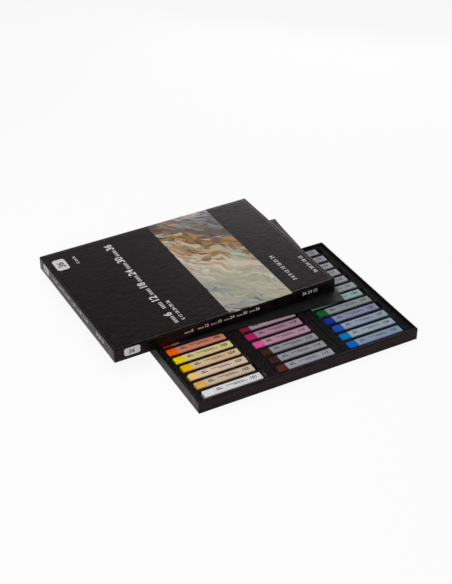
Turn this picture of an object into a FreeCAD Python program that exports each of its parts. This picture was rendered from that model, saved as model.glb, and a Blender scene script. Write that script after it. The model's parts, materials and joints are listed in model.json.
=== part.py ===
"""Thirty-six soft pastels in a shallow board tray with foam inserts, a foam cover sheet and a lift-off lid.

Millimetres. The origin is the centre of the tray's underside: +X runs along the tray's front edge to the
right, +Y to the back, +Z up. The lid is off the tray, as it lies when the box has just been opened: it
rests askew on the cover sheet, set back and to the left, so that the front rows of pastels show.
"""
import FreeCAD, Part
import os
import re
import Sketcher

# Driving dimensions: lengths in mm, angles in degrees
DRIVING = {
    "stick_length": 65.0,           # a bare pastel
    "stick_side": 10.0,             # its square section
    "stick_edge_radius": 0.6,       # its softened long edges
    "sleeve_thickness": 0.25,       # the paper round it
    "bare_length": 10.5,            # its left end, which the paper leaves bare
    "slot_side_play": 0.4,          # slot wider than a sleeved pastel
    "slot_end_play": 2.5,           # slot longer than a pastel
    "slot_end_reach": 4.0,          # and how much further the longest slots reach to the right
    "rib_width": 4.3,               # foam between two slots of a column
    "front_margin": 3.3,            # foam in front of the first row
    "back_margin": 5.8,             # foam behind the last row
    "left_margin": 6.1,             # foam left of the first column
    "column_gap": 16.5,             # foam between the first and second columns
    "left_seam_margin": 9.5,        # foam from the second column to the seam
    "seam_gap": 0.7,                # open seam between the two foam blocks
    "right_seam_margin": 8.5,       # foam from the seam to the third column
    "right_margin": 10.4,           # foam right of the third column
    "foam_gap": 0.3,                # foam to the tray's wall
    "pad_thickness": 1.0,           # thin foam under the pastels
    "stick_proud": 1.0,             # how far a sleeved pastel stands above the foam blocks
    "headroom": 0.55,               # from the pastels' tops to the tray's rim
    "board_thickness": 1.6,         # grey board of tray and lid
    "paper_thickness": 0.25,        # black wrapping paper
    "wrap_edge_radius": 0.9,        # rounding of the wrapped corners and edges
    "lid_clearance": 0.9,           # lid to tray, each side, when the box is closed
    "lid_height": 15.6,
    "lid_turn_in": 12.0,            # paper turned up inside the lid's walls
    "sheet_thickness": 1.2,         # foam sheet that lies over the pastels
    "sheet_width": 193.0,           # shorter than the tray: it leaves the left ends of the first column bare
    "sheet_gap": 1.6,               # sheet to the tray's front and back wall, when it lies in the tray
    "sheet_clearance": 2.4,         # sheet's front corner behind the last uncovered slot
    "sheet_reach": 40.0,            # sheet's front corner past the left end of the third column's slots
    "sheet_turn": 5.8,              # clockwise turn of the sheet's side edges, as it lies now
    "sheet_skew": 1.8,              # its front edge is cut this far out of square
    "lid_set_back": 15.1,           # lid's front left corner behind the sheet's front corner
    "lid_set_left": 46.8,           # and left of the tray
    "lid_turn": 1.0,                # anticlockwise turn of the lid, as it lies now
}

# Pastels by column from the left, front to back
COLUMNS = [
    ["white", "ochre", "peach", "golden_yellow", "lemon_yellow", "orange",
     "red_orange", "scarlet", "carmine", "rust", "terracotta", "rose"],
    ["red_brown", "dark_brown", "umber", "hot_pink", "magenta", "crimson",
     "purple", "violet", "mauve", "plum", "lilac", "indigo"],
    ["azure", "cerulean", "cobalt_blue", "ultramarine", "green", "mint",
     "sage", "grey_green", "light_grey", "middle_grey", "dark_grey", "black"],
]
ROWS = len(COLUMNS[0])
# The rows in front of the cover sheet
UNCOVERED_ROWS = 5
# How much of its end play each pastel leaves on its left
LEFT_PLAY_SHARES = [
    [0.88, 0.44, 0.50, 0.56, 0.28, 0.14, 0.05, 0.40, 0.65, 0.30, 0.55, 0.45],
    [0.88, 0.74, 0.48, 0.36, 0.08, 0.24, 0.60, 0.35, 0.50, 0.20, 0.70, 0.40],
    [0.06, 0.46, 0.95, 0.36, 0.64, 0.05, 0.80, 0.20, 0.05, 0.16, 0.64, 0.12],
]
# How much of the longest slots' reach each slot has
SLOT_REACH_SHARES = [
    [0.85, 0.80, 0.10, 0.00, 0.10, 0.05, 0.30, 0.60, 0.15, 0.40, 0.10, 0.50],
    [0.55, 0.10, 0.05, 0.15, 0.55, 0.50, 0.20, 0.70, 0.10, 0.35, 0.60, 0.25],
    [0.40, 0.00, 0.10, 0.90, 0.30, 1.00, 0.10, 0.75, 0.90, 0.10, 0.60, 0.95],
]

# Sizes that follow from the driving ones
DERIVED = {
    "sleeve_length": "stick_length - bare_length",
    "sleeve_side": "stick_side + 2 * sleeve_thickness",
    "slot_width": "sleeve_side + slot_side_play",
    "slot_length": "stick_length + slot_end_play",
    "row_pitch": "slot_width + rib_width",
    "wrapped_wall": "board_thickness + 2 * paper_thickness",
    "wrapped_panel": "board_thickness + paper_thickness",
    "foam_inset": "wrapped_wall + foam_gap",
    "foam_depth": f"front_margin + {ROWS} * row_pitch - rib_width + back_margin",
    "left_block_width": "left_margin + 2 * slot_length + column_gap + left_seam_margin",
    "right_block_width": "right_seam_margin + slot_length + right_margin",
    "foam_width": "left_block_width + seam_gap + right_block_width",
    "block_thickness": "sleeve_side - stick_proud",
    "tray_width": "foam_width + 2 * foam_inset",
    "tray_depth": "foam_depth + 2 * foam_inset",
    "pad_top": "wrapped_panel + pad_thickness",
    "tray_height": "pad_top + sleeve_side + headroom",
    "lid_width": "tray_width + 2 * (lid_clearance + wrapped_wall)",
    "lid_depth": "tray_depth + 2 * (lid_clearance + wrapped_wall)",
    "tray_left": "0 - tray_width / 2",
    "tray_front": "0 - tray_depth / 2",
    "foam_left": "tray_left + foam_inset",
    "foam_front": "tray_front + foam_inset",
    "right_block_left": "foam_left + left_block_width + seam_gap",
    "second_slot_left": "left_margin + slot_length + column_gap",
    "sheet_depth": "tray_depth - 2 * (wrapped_wall + sheet_gap)",
    "sheet_corner_x": "right_block_left + right_seam_margin + sheet_reach",
    "sheet_corner_y": f"foam_front + front_margin + {UNCOVERED_ROWS} * row_pitch - rib_width + sheet_clearance",
    "lid_left": "tray_left - lid_set_left",
    "lid_front": "sheet_corner_y + lid_set_back",
    "lid_bottom": "tray_height + sheet_thickness",
}
# The left ends of the three columns' slots
COLUMN_LEFTS = [
    "foam_left + left_margin",
    "foam_left + second_slot_left",
    "right_block_left + right_seam_margin",
]

document = FreeCAD.newDocument("PastelBox")


def named(text):
    """An expression with the sheet's name in front of each size."""
    def with_sheet(match):
        word = match.group()
        if word in DRIVING:
            return f"Sizes.{word}"
        return f"Derived.{word}" if word in DERIVED else word
    return re.sub(r"[a-z_]+", with_sheet, text)


def fill_sheet(name, cells):
    """A spreadsheet with one row for each size: its name, and its value under that name."""
    sheet = document.addObject("Spreadsheet::Sheet", name)
    for row, (alias, content) in enumerate(cells.items(), start=1):
        sheet.set(f"A{row}", alias)
        sheet.set(f"B{row}", content)
        sheet.setAlias(f"B{row}", alias)
    document.recompute()


def origin_feature(body, role):
    """The body's own origin plane or axis."""
    return next(feature for feature in body.Origin.OriginFeatures if feature.Role == role)


def new_body(label):
    body = document.addObject("PartDesign::Body", label)
    body.Label = label
    return body


def place(piece, left, front, bottom, turn="0"):
    """Puts a piece's local origin at a point, turned anticlockwise about the vertical."""
    point = f"vector({named(left)}; {named(front)}; {named(bottom)})"
    piece.setExpression("Placement", f"placement({point}; rotation(vector(0; 0; 1); ({named(turn)}) * 1 deg))")


def flat_sketch(body, name, corners, height="0"):
    """A closed sketch of straight lines on the body's XY plane, lifted by height, with no sizes yet."""
    sketch = body.newObject("Sketcher::SketchObject", name)
    sketch.AttachmentSupport = [(origin_feature(body, "XY_Plane"), "")]
    sketch.MapMode = "FlatFace"
    sketch.setExpression("AttachmentOffset.Base.z", named(height))
    points = [FreeCAD.Vector(x, y, 0) for x, y in corners]
    count = len(points)
    sketch.addGeometry([Part.LineSegment(points[n], points[(n + 1) % count]) for n in range(count)], False)
    sketch.addConstraint([Sketcher.Constraint("Coincident", n, 2, (n + 1) % count, 1) for n in range(count)])
    sketch.Visibility = False
    return sketch


def bind(sketch, kind, first, second, expression):
    """A distance between two points of a sketch, each given as line and end."""
    number = sketch.addConstraint(Sketcher.Constraint(kind, *first, *second, 1.0))
    sketch.setExpression(f"Constraints[{number}]", named(expression))


def rectangle(body, name, left, front, width, depth, height="0"):
    sketch = flat_sketch(body, name, [(0, 0), (1, 0), (1, 1), (0, 1)], height)
    sketch.addConstraint([Sketcher.Constraint("Horizontal", 0), Sketcher.Constraint("Horizontal", 2),
                          Sketcher.Constraint("Vertical", 1), Sketcher.Constraint("Vertical", 3)])
    bind(sketch, "DistanceX", (0, 1), (0, 2), width)
    bind(sketch, "DistanceY", (1, 1), (1, 2), depth)
    bind(sketch, "DistanceX", (-1, 1), (0, 1), left)
    bind(sketch, "DistanceY", (-1, 1), (0, 1), front)
    return sketch


def inset_rectangle(body, name, inset, width, depth, height="0"):
    """A rectangle that lies one inset inside the width and depth, on all sides."""
    return rectangle(body, name, inset, inset, f"{width} - 2 * ({inset})", f"{depth} - 2 * ({inset})", height)


def pad(body, sketch, length):
    feature = body.newObject("PartDesign::Pad", "Pad")
    feature.Profile = sketch
    feature.setExpression("Length", named(length))
    return feature


def pocket_up(body, sketch, length):
    """Cuts upwards from the sketch."""
    feature = body.newObject("PartDesign::Pocket", "Pocket")
    feature.Profile = sketch
    feature.Reversed = True
    feature.setExpression("Length", named(length))


def runs_along(edge, axis):
    direction = edge.Vertexes[1].Point - edge.Vertexes[0].Point
    return abs(direction.dot(axis)) > 0.999 * direction.Length


def is_lengthwise(edge, bounds):
    return runs_along(edge, FreeCAD.Vector(1, 0, 0))


def is_upright_or_low(edge, bounds):
    return runs_along(edge, FreeCAD.Vector(0, 0, 1)) or edge.CenterOfMass.z < bounds.Center.z


def is_upright_or_high(edge, bounds):
    return runs_along(edge, FreeCAD.Vector(0, 0, 1)) or edge.CenterOfMass.z > bounds.Center.z


def round_edges(body, base, radius, chosen):
    """Rounds the edges of a padded rectangle that a test picks out."""
    document.recompute()
    bounds = base.Shape.BoundBox
    names = [f"Edge{n}" for n, edge in enumerate(base.Shape.Edges, start=1) if chosen(edge, bounds)]
    feature = body.newObject("PartDesign::Fillet", "Fillet")
    feature.Base = (base, names)
    feature.setExpression("Radius", named(radius))


def cut(label, base, tool):
    """Base without the space that the tool takes."""
    feature = document.addObject("Part::Cut", label)
    feature.Label = label
    feature.Base = base
    feature.Tool = tool
    return feature


def tray_pieces():
    """The tray's board, open above, and the paper that wraps it outside, over the rim and down inside."""
    board = new_body("tray_board")
    outline = inset_rectangle(board, "Outline", "paper_thickness", "tray_width", "tray_depth", "paper_thickness")
    blank = pad(board, outline, "tray_height - 2 * paper_thickness")
    round_edges(board, blank, "wrap_edge_radius - paper_thickness", is_upright_or_low)
    hollow = inset_rectangle(board, "Hollow", "wrapped_panel", "tray_width", "tray_depth", "wrapped_panel")
    pocket_up(board, hollow, "tray_height")
    place(board, "tray_left", "tray_front", "0")

    skin = new_body("tray_wrap_skin")
    blank = pad(skin, rectangle(skin, "Outline", "0", "0", "tray_width", "tray_depth"), "tray_height")
    round_edges(skin, blank, "wrap_edge_radius", is_upright_or_low)
    hollow = inset_rectangle(skin, "Hollow", "wrapped_wall", "tray_width", "tray_depth", "wrapped_panel")
    pocket_up(skin, hollow, "tray_height")
    place(skin, "tray_left", "tray_front", "0")
    return [board, cut("tray_wrap", skin, board)]


def lid_pieces():
    """The lid's board, open below, and its paper, turned up a little way inside the walls."""
    board = new_body("lid_board")
    outline = inset_rectangle(board, "Outline", "paper_thickness", "lid_width", "lid_depth", "paper_thickness")
    blank = pad(board, outline, "lid_height - 2 * paper_thickness")
    round_edges(board, blank, "wrap_edge_radius - paper_thickness", is_upright_or_high)
    hollow = inset_rectangle(board, "Hollow", "wrapped_panel", "lid_width", "lid_depth")
    pocket_up(board, hollow, "lid_height - wrapped_panel")

    skin = new_body("lid_wrap_skin")
    blank = pad(skin, rectangle(skin, "Outline", "0", "0", "lid_width", "lid_depth"), "lid_height")
    round_edges(skin, blank, "wrap_edge_radius", is_upright_or_high)
    mouth = inset_rectangle(skin, "Mouth", "wrapped_wall", "lid_width", "lid_depth")
    pocket_up(skin, mouth, "lid_turn_in")
    room = inset_rectangle(skin, "Room", "wrapped_panel", "lid_width", "lid_depth", "lid_turn_in")
    pocket_up(skin, room, "lid_height - wrapped_panel - lid_turn_in")
    for body in (board, skin):
        place(body, "lid_left", "lid_front", "lid_bottom", "lid_turn")
    return [board, cut("lid_wrap", skin, board)]


def foam_slab(label, width, thickness, left, bottom):
    body = new_body(label)
    pad(body, rectangle(body, "Outline", "0", "0", width, "foam_depth"), thickness)
    place(body, left, "foam_front", bottom)
    return body


def foam_block(label, width, left, slot_lefts):
    """A foam block with columns of slots right through it, some of them longer than others."""
    body = foam_slab(label, width, "block_thickness", left, "pad_top")
    for column, slot_left in slot_lefts.items():
        for row, reach_share in enumerate(SLOT_REACH_SHARES[column]):
            front = f"front_margin + {row} * row_pitch"
            length = f"slot_length + {reach_share} * slot_end_reach"
            pocket_up(body, rectangle(body, "Slot", slot_left, front, length, "slot_width"), "block_thickness")
    return body


def foam_pieces():
    """The pad on the tray's floor and the two slotted blocks on it."""
    return [
        foam_slab("foam_base_pad", "foam_width", "pad_thickness", "foam_left", "wrapped_panel"),
        foam_block("foam_block_left", "left_block_width", "foam_left", {0: "left_margin", 1: "second_slot_left"}),
        foam_block("foam_block_right", "right_block_width", "right_block_left", {2: "right_seam_margin"}),
    ]


def cover_sheet():
    """The thin foam sheet: a parallelogram, because its front edge is cut a little out of square."""
    body = new_body("cover_sheet")
    sketch = flat_sketch(body, "Outline", [(0, 0), (0, 1), (-1, 0.9), (-1, -0.1)])
    sketch.addConstraint([Sketcher.Constraint("Vertical", 0), Sketcher.Constraint("Vertical", 2),
                          Sketcher.Constraint("Parallel", 1, 3),
                          Sketcher.Constraint("Coincident", -1, 1, 0, 1)])
    bind(sketch, "DistanceY", (0, 1), (0, 2), "sheet_depth")
    bind(sketch, "DistanceX", (2, 1), (1, 1), "sheet_width")
    bind(sketch, "DistanceY", (2, 2), (0, 1), "sheet_width * tan(sheet_skew * 1 deg)")
    pad(body, sketch, "sheet_thickness")
    place(body, "sheet_corner_x", "sheet_corner_y", "tray_height", "0 - sheet_turn")
    return body


def pastel(colour, column, row):
    """One pastel in its slot, and the paper sleeve round its right-hand part."""
    left = f"{COLUMN_LEFTS[column]} + {LEFT_PLAY_SHARES[column][row]} * slot_end_play"
    front = f"foam_front + front_margin + {row} * row_pitch + slot_side_play / 2"
    stick = new_body(f"pastel_{colour}")
    blank = pad(stick, rectangle(stick, "Outline", "0", "0", "stick_length", "stick_side"), "stick_side")
    round_edges(stick, blank, "stick_edge_radius", is_lengthwise)
    place(stick, left, f"{front} + sleeve_thickness", "pad_top + sleeve_thickness")

    paper = new_body(f"sleeve_{colour}_outside")
    blank = pad(paper, rectangle(paper, "Outline", "0", "0", "sleeve_length", "sleeve_side"), "sleeve_side")
    round_edges(paper, blank, "stick_edge_radius + sleeve_thickness", is_lengthwise)
    place(paper, f"{left} + bare_length", front, "pad_top")
    return stick, cut(f"sleeve_{colour}", paper, stick)


def pastel_pieces():
    """All pastels and sleeves; the sleeves that the cover sheet hides are one group."""
    pieces = []
    hidden_sleeves = []
    for column, colours in enumerate(COLUMNS):
        for row, colour in enumerate(colours):
            stick, sleeve = pastel(colour, column, row)
            pieces.append(stick)
            if row < UNCOVERED_ROWS:
                pieces.append(sleeve)
            else:
                hidden_sleeves.append(sleeve)
    group = document.addObject("Part::Compound", "covered_sleeves")
    group.Label = "covered_sleeves"
    group.Links = hidden_sleeves
    return pieces + [group]


def check(pieces):
    """Stops if a feature failed or a piece is missing, broken or has the wrong number of solids."""
    for item in document.Objects:
        if "Invalid" in item.State or "Error" in item.State:
            raise RuntimeError(f"{item.Label} failed to build")
    for piece in pieces:
        shape = piece.Shape
        if shape.isNull() or not shape.isValid():
            raise RuntimeError(f"{piece.Label} has no valid shape")
        wanted = len(COLUMNS) * (ROWS - UNCOVERED_ROWS) if piece.Label == "covered_sleeves" else 1
        if len(shape.Solids) != wanted:
            raise RuntimeError(f"{piece.Label} has {len(shape.Solids)} solids, not {wanted}")


fill_sheet("Sizes", {name: str(value) for name, value in DRIVING.items()})
fill_sheet("Derived", {name: f"={named(formula)}" for name, formula in DERIVED.items()})
pieces = tray_pieces() + lid_pieces() + foam_pieces() + [cover_sheet()] + pastel_pieces()
document.recompute()
check(pieces)

os.makedirs("parts", exist_ok=True)
for piece in pieces:
    piece.Shape.exportStep(f"parts/{piece.Label}.step")
    bounds = piece.Shape.BoundBox
    print(f"{piece.Label}: volume {piece.Shape.Volume:.1f}, X {bounds.XMin:.2f} to {bounds.XMax:.2f}, "
          f"Y {bounds.YMin:.2f} to {bounds.YMax:.2f}, Z {bounds.ZMin:.2f} to {bounds.ZMax:.2f}")
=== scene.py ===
"""The looks of a boxed set of thirty-six soft pastels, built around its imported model. Metres, +Z up."""

import json
import math
import random

import bmesh
import bpy
import numpy as np
from mathutils import Matrix, Vector, noise


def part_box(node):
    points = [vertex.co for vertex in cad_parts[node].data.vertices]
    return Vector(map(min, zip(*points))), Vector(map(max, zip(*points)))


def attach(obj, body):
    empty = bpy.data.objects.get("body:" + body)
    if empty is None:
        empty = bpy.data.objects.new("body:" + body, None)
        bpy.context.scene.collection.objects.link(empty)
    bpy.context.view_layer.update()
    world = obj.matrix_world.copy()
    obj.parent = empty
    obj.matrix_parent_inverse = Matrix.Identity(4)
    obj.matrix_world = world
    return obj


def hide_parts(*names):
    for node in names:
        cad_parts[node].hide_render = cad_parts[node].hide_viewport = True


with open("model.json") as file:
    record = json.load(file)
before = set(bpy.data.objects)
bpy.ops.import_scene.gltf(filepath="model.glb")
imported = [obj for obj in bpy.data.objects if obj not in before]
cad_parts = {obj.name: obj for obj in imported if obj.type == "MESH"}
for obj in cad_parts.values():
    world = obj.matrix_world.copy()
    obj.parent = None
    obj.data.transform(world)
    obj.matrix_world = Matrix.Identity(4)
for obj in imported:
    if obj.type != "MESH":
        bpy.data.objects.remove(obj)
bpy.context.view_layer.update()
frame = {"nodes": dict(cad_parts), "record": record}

MM = 0.001
SCENE = bpy.context.scene

# Without a seed, Blender's vector noise differs in each run
NOISE_SEED = 1
noise.seed_set(NOISE_SEED)

# The camera of the photograph
CAMERA_TARGET = Vector((-7.4, 76.3, 0.0)) * MM
CAMERA_DISTANCE = 1387.7 * MM
CAMERA_AZIMUTH = math.radians(-28.15)
CAMERA_ELEVATION = math.radians(34.8)
CAMERA_LENS = 76.7
CAMERA_SENSOR = 36

# Sizes that the box's pieces share
BOARD_WALL = 2.1 * MM
EDGE_RADIUS = 0.9 * MM
RIM_RADIUS = 0.45 * MM
# The wrapping paper, a little thinner than in the solids
WRAP_PAPER = 0.25 * MM * 0.85
# How far the paper's soft edge reaches in over the panel, and down the wall
SHOULDER = (1.3 * MM, 0.8 * MM)
# Under the paper, the flaps of the short sides end this far from the corners, in a step this wide and deep
FLAP_WIDTH = 11 * MM
FLAP_STEP = 0.6 * MM
FLAP_DEPTH = 0.09 * MM
# The panel's flat part starts this far in, behind a low ridge: (inset, height) in mm
PANEL_INSET = 5.0 * MM
PANEL_RIDGE = ((3.5, 0.0), (3.1, 0.05), (2.7, 0.14), (2.4, 0.09), (2.1, 0.01))
# The widest face of the paper's mesh
PAPER_CELL = 4.5 * MM
LID_TURN = math.radians(1.0)
LID_TURN_IN = 12 * MM
SLEEVE_PAPER = 0.25 * MM
# How far the wrapping paper waves, and how far prints stand off it
WAVE = 0.02 * MM
PRINT = 0.03 * MM

# Between these angles above the horizon, the white backdrop fades into the dim studio
BACKDROP_TOP = (math.radians(25), math.radians(34))


def make_camera():
    data = bpy.data.cameras.new("camera")
    data.lens = CAMERA_LENS
    data.sensor_width = CAMERA_SENSOR
    camera = bpy.data.objects.new("camera", data)
    back = Vector((math.sin(CAMERA_AZIMUTH) * math.cos(CAMERA_ELEVATION),
                   -math.cos(CAMERA_AZIMUTH) * math.cos(CAMERA_ELEVATION), math.sin(CAMERA_ELEVATION)))
    camera.location = CAMERA_TARGET + back * CAMERA_DISTANCE
    camera.rotation_mode = "QUATERNION"
    camera.rotation_quaternion = (-back).to_track_quat("-Z", "Y")
    SCENE.collection.objects.link(camera)
    SCENE.camera = camera


make_camera()


# Materials

def linear(code):
    """A colour written as six hex digits, as the linear values that a shader takes."""
    values = [int(code[n:n + 2], 16) / 255 for n in (0, 2, 4)]
    return tuple(((v + 0.055) / 1.055) ** 2.4 if v > 0.04045 else v / 12.92 for v in values) + (1.0,)


def mixed(first, second, share):
    return tuple(a + (b - a) * share for a, b in zip(first, second))


def brighter(colour, factor):
    return tuple(min(1.0, v * factor) for v in colour[:3]) + (1.0,)


def node(tree, kind, inputs=None, **settings):
    """Adds a node. An input that is given a socket is linked to it, and any other is set."""
    made = tree.nodes.new(kind)
    for name, value in settings.items():
        setattr(made, name, value)
    for key, value in (inputs or {}).items():
        if isinstance(value, bpy.types.NodeSocket):
            tree.links.new(value, made.inputs[key])
        else:
            made.inputs[key].default_value = value
    return made


def maths(tree, operation, first, second=0.0):
    return node(tree, "ShaderNodeMath", {0: first, 1: second}, operation=operation).outputs[0]


def mix_colours(tree, factor, first, second):
    return node(tree, "ShaderNodeMix", {0: factor, 6: first, 7: second}, data_type="RGBA").outputs[2]


def ramp(tree, factor, stops):
    """A colour ramp with stops of (position, colour)."""
    made = node(tree, "ShaderNodeValToRGB", {0: factor})
    elements = made.color_ramp.elements
    while len(elements) < len(stops):
        elements.new(0.5)
    for element, (position, colour) in zip(elements, stops):
        element.position = position
        element.color = colour
    return made.outputs["Color"]


def fade(tree, value, low, high):
    """0 below low, 1 above high, and smooth between them."""
    return node(tree, "ShaderNodeMapRange", {0: value, 1: low, 2: high},
                interpolation_type="SMOOTHSTEP").outputs[0]


def places(tree, stretch=(1, 1, 1), turn=0.0, shift=(0, 0, 0)):
    """The point on the object, turned about the vertical and stretched."""
    point = node(tree, "ShaderNodeTexCoord").outputs["Object"]
    return node(tree, "ShaderNodeMapping", {0: point, 1: shift, 2: (0, 0, turn), 3: stretch}).outputs[0]


def speckle(tree, point, size, detail=2.0, roughness=0.5):
    """Noise from 0 to 1 whose spots are about that size, in metres."""
    return node(tree, "ShaderNodeTexNoise", {"Vector": point, "Scale": 1 / size, "Detail": detail,
                                             "Roughness": roughness}).outputs[0]


def add_bump(tree, shader, height, depth, strength=1.0):
    """Bumps of that depth, in metres, on top of those that the shader already has."""
    made = node(tree, "ShaderNodeBump", {"Height": height, "Distance": depth, "Strength": strength})
    normal = shader.inputs["Normal"]
    if normal.is_linked:
        tree.links.new(normal.links[0].from_socket, made.inputs["Normal"])
    tree.links.new(made.outputs[0], normal)


def new_material(name, colour, roughness, ior):
    """A material with its constant values set on the shader, and its tree for the detail."""
    made = bpy.data.materials.new(name)
    made.use_nodes = True
    shader = made.node_tree.nodes["Principled BSDF"]
    shader.inputs["Base Color"].default_value = colour
    shader.inputs["Roughness"].default_value = roughness
    shader.inputs["IOR"].default_value = ior
    return made, made.node_tree, shader


def set_colour(tree, shader, socket):
    tree.links.new(socket, shader.inputs["Base Color"])


def chalk_material(name, colour):
    """Pressed pigment: powdery, mottled and a little streaked along the stick."""
    made, tree, shader = new_material(name, colour, 0.95, ior=1.15)
    point = places(tree)
    patches = speckle(tree, point, 3.5 * MM, detail=5.0, roughness=0.65)
    streaks = speckle(tree, places(tree, stretch=(0.12, 1, 1)), 0.45 * MM, detail=3.0)
    powder = speckle(tree, point, 0.22 * MM, detail=4.0, roughness=0.7)
    tone = mix_colours(tree, fade(tree, patches, 0.36, 0.66), brighter(colour, 0.9), brighter(colour, 1.08))
    tone = mix_colours(tree, maths(tree, "MULTIPLY", fade(tree, streaks, 0.48, 0.72), 0.22), tone,
                       brighter(colour, 0.76))
    tone = mix_colours(tree, maths(tree, "MULTIPLY", fade(tree, powder, 0.58, 0.8), 0.35), tone,
                       brighter(colour, 1.3))
    set_colour(tree, shader, tone)
    add_bump(tree, shader, patches, 0.12 * MM, 0.5)
    add_bump(tree, shader, streaks, 0.05 * MM, 0.5)
    add_bump(tree, shader, powder, 0.05 * MM, 0.7)
    return made


def sleeve_material(name, colour, dust):
    """Thin uncoated paper with a tint and its fibres, pigment rubbed off on it in clouds, and painted shade
    on its sides.
    """
    made, tree, shader = new_material(name, colour, 0.62, ior=1.35)
    point = places(tree)
    fibres = speckle(tree, places(tree, stretch=(0.35, 1, 1)), 0.3 * MM, detail=4.0, roughness=0.6)
    clouds = speckle(tree, point, 9 * MM, detail=3.0)
    facing = node(tree, "ShaderNodeSeparateXYZ", {0: node(tree, "ShaderNodeNewGeometry").outputs["Normal"]})
    # Painted shade on the sides: faces that don't face up are tinted half way to the pastel's colour, as
    # shade with light bounced off the pastel
    side = maths(tree, "SUBTRACT", 0.5, maths(tree, "MULTIPLY", fade(tree, facing.outputs[2], 0.2, 0.9), 0.5))
    tone = mix_colours(tree, fibres, brighter(colour, 0.95), brighter(colour, 1.04))
    rubbed = maths(tree, "MULTIPLY", fade(tree, clouds, 0.52, 0.75), 0.10)
    # The pastel's colour, used both for the rubbed pigment clouds and for the painted shade on the sides
    pigment = mixed(colour, dust, 0.8)
    set_colour(tree, shader, mix_colours(tree, maths(tree, "MAXIMUM", rubbed, side), tone, pigment))
    add_bump(tree, shader, fibres, 0.02 * MM, 0.5)
    add_bump(tree, shader, clouds, 0.15 * MM, 0.4)
    return made


def wrap_material(name, colour, turn=0.0, art=None):
    """Dark printed paper embossed with a fine lengthwise grain, with a soft gloss."""
    made, tree, shader = new_material(name, colour, 0.3, ior=1.3)
    shader.inputs["Specular Tint"].default_value = (1.0, 0.62, 0.68, 1.0)
    grain = speckle(tree, places(tree, stretch=(0.15, 1, 1), turn=turn), 1.8 * MM, detail=2.5, roughness=0.55)
    drift = speckle(tree, places(tree, stretch=(0.3, 1, 1), turn=turn), 6 * MM, detail=2.0)
    tone = mix_colours(tree, fade(tree, grain, 0.4, 0.66), brighter(colour, 0.05), brighter(colour, 0.75))
    tone = mix_colours(tree, maths(tree, "MULTIPLY", drift, 0.3), tone, brighter(colour, 0.4))
    if art:
        tone = art(tree, tone)
    set_colour(tree, shader, tone)
    tree.links.new(node(tree, "ShaderNodeMapRange", {0: grain, 3: 0.2, 4: 0.36}).outputs[0],
                   shader.inputs["Roughness"])
    add_bump(tree, shader, drift, 0.12 * MM, 0.4)
    add_bump(tree, shader, grain, 0.12 * MM, 0.6)
    return made


def foam_material(name, colour, pore, gloss, dusted):
    """Closed-cell foam: a dark skin of fine pores, with pigment dust where the mesh says so."""
    made, tree, shader = new_material(name, colour, 0.9 - 0.5 * gloss, ior=1.2 + 0.25 * gloss)
    point = places(tree)
    pores = node(tree, "ShaderNodeTexVoronoi",
                 {"Vector": point, "Scale": 1 / pore, "Randomness": 1.0}).outputs[0]
    grit = speckle(tree, point, pore * 1.3, detail=3.0, roughness=0.7)
    blotches = speckle(tree, point, pore * 7, detail=2.0)
    tone = mix_colours(tree, fade(tree, grit, 0.5, 0.64), brighter(colour, 0.05), brighter(colour, 4.2))
    tone = mix_colours(tree, fade(tree, pores, 0.0, 0.4), brighter(colour, 0.1), tone)
    tone = mix_colours(tree, maths(tree, "MULTIPLY", blotches, 0.15), tone, brighter(colour, 0.9))
    if dusted:
        dust = node(tree, "ShaderNodeAttribute", attribute_name="dust")
        broken = maths(tree, "MULTIPLY", dust.outputs["Alpha"], fade(tree, grit, 0.3, 0.62))
        tone = mix_colours(tree, broken, tone, dust.outputs["Color"])
    set_colour(tree, shader, tone)
    add_bump(tree, shader, pores, pore * 0.3, 0.6)
    add_bump(tree, shader, grit, pore * 0.25, 0.6)
    return made


def board_material(name, colour):
    """Grey board of recycled fibre."""
    made, tree, shader = new_material(name, colour, 0.85, ior=1.35)
    fibres = speckle(tree, places(tree, stretch=(0.4, 1, 1)), 0.6 * MM, detail=5.0, roughness=0.7)
    flecks = node(tree, "ShaderNodeTexVoronoi", {"Vector": places(tree), "Scale": 1 / (4 * MM)}).outputs[0]
    tone = mix_colours(tree, fibres, brighter(colour, 0.7), brighter(colour, 1.2))
    set_colour(tree, shader, mix_colours(tree, fade(tree, flecks, 0.06, 0.1), brighter(colour, 0.5), tone))
    add_bump(tree, shader, fibres, 0.08 * MM, 0.6)
    return made


def ink_material(name, colour, roughness):
    """Printing ink, slightly broken by the paper's grain."""
    made, tree, shader = new_material(name, colour, roughness, ior=1.4)
    grain = speckle(tree, places(tree, stretch=(0.3, 1, 1)), 0.4 * MM, detail=3.0)
    set_colour(tree, shader, mix_colours(tree, fade(tree, grain, 0.25, 0.6), brighter(colour, 0.82), colour))
    add_bump(tree, shader, grain, 0.02 * MM, 0.5)
    return made


# Meshes

# Edges sharper than this stay sharp in the shading
SHARP_ANGLE = math.radians(40)


def add_piece(name, mesh, body, materials):
    """Links a mesh as a piece that rides on a body, smooth except at sharp edges."""
    for material in materials:
        mesh.materials.append(material)
    piece = bpy.data.objects.new(name, mesh)
    SCENE.collection.objects.link(piece)
    mesh.shade_smooth()
    mesh.set_sharp_from_angle(angle=SHARP_ANGLE)
    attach(piece, body)
    return piece


def mesh_from(name, points, faces):
    mesh = bpy.data.meshes.new(name)
    mesh.from_pydata([tuple(p) for p in points], [], faces)
    shape = bmesh.new()
    shape.from_mesh(mesh)
    bmesh.ops.remove_doubles(shape, verts=shape.verts, dist=0.001 * MM)
    bmesh.ops.recalc_face_normals(shape, faces=shape.faces)
    shape.to_mesh(mesh)
    shape.free()
    return mesh


def bands(loops, closed=False):
    """Quads between each loop of points and the next. All loops have as many points."""
    count = len(loops[0])
    faces = []
    for n in range(len(loops) if closed else len(loops) - 1):
        first = n * count
        second = (n + 1) % len(loops) * count
        for k in range(count):
            after = (k + 1) % count
            faces.append((first + k, first + after, second + after, second + k))
    return faces


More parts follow.
